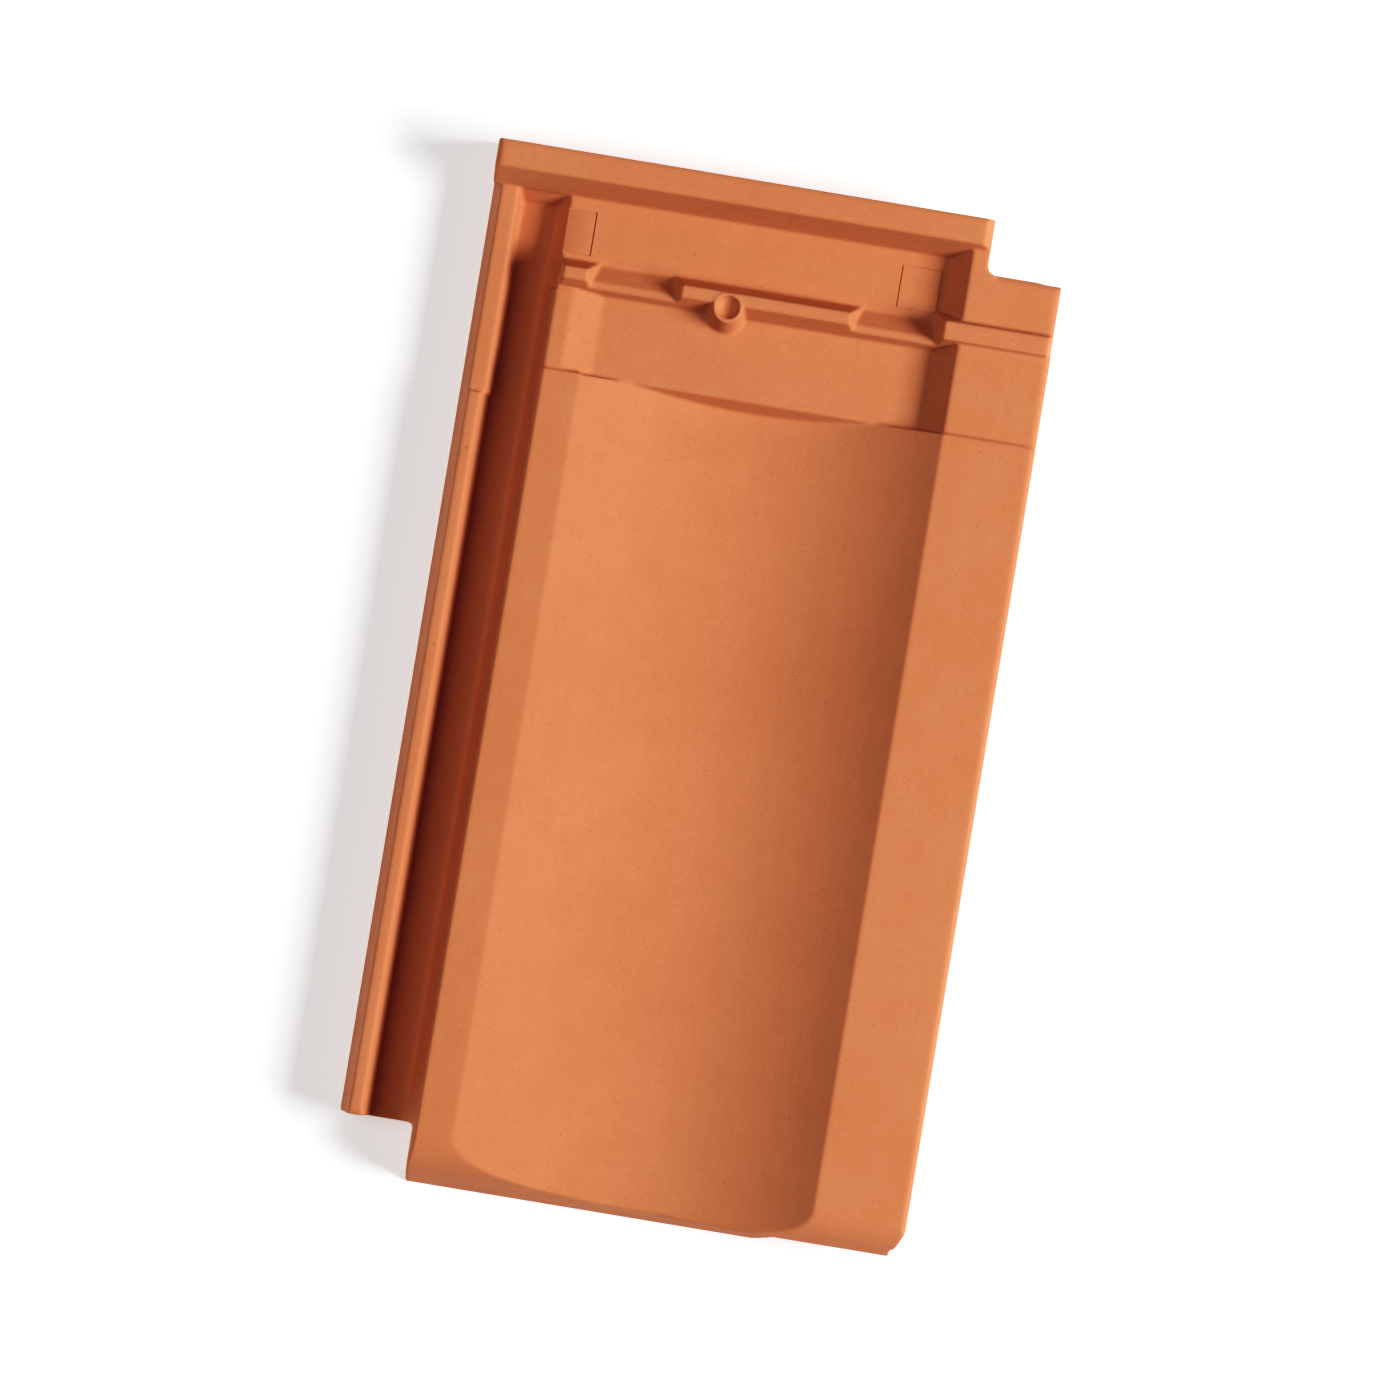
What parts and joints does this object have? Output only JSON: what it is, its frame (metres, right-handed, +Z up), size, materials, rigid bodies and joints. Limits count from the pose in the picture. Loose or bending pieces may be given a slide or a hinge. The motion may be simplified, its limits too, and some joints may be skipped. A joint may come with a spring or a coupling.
{
  "type": "clay roof tile",
  "caption": "Interlocking clay pan tile with a side channel, a broad curved trough, a cover flap, a head lock and a nail boss.",
  "frame": {"origin": "centre of the bounding box at the level floor that the tile lies on, face up", "axes": "+X across the tile from the channel side to the cover flap, +Y from the foot to the head, +Z up"},
  "size_m": [0.27, 0.4884, 0.046],
  "materials": {
    "fired_clay": "unglazed fired clay, matte, natural red, fine sanded grain"
  },
  "bodies": {
    "root": {"roof_tile": "fired_clay"}
  },
  "joints": []
}
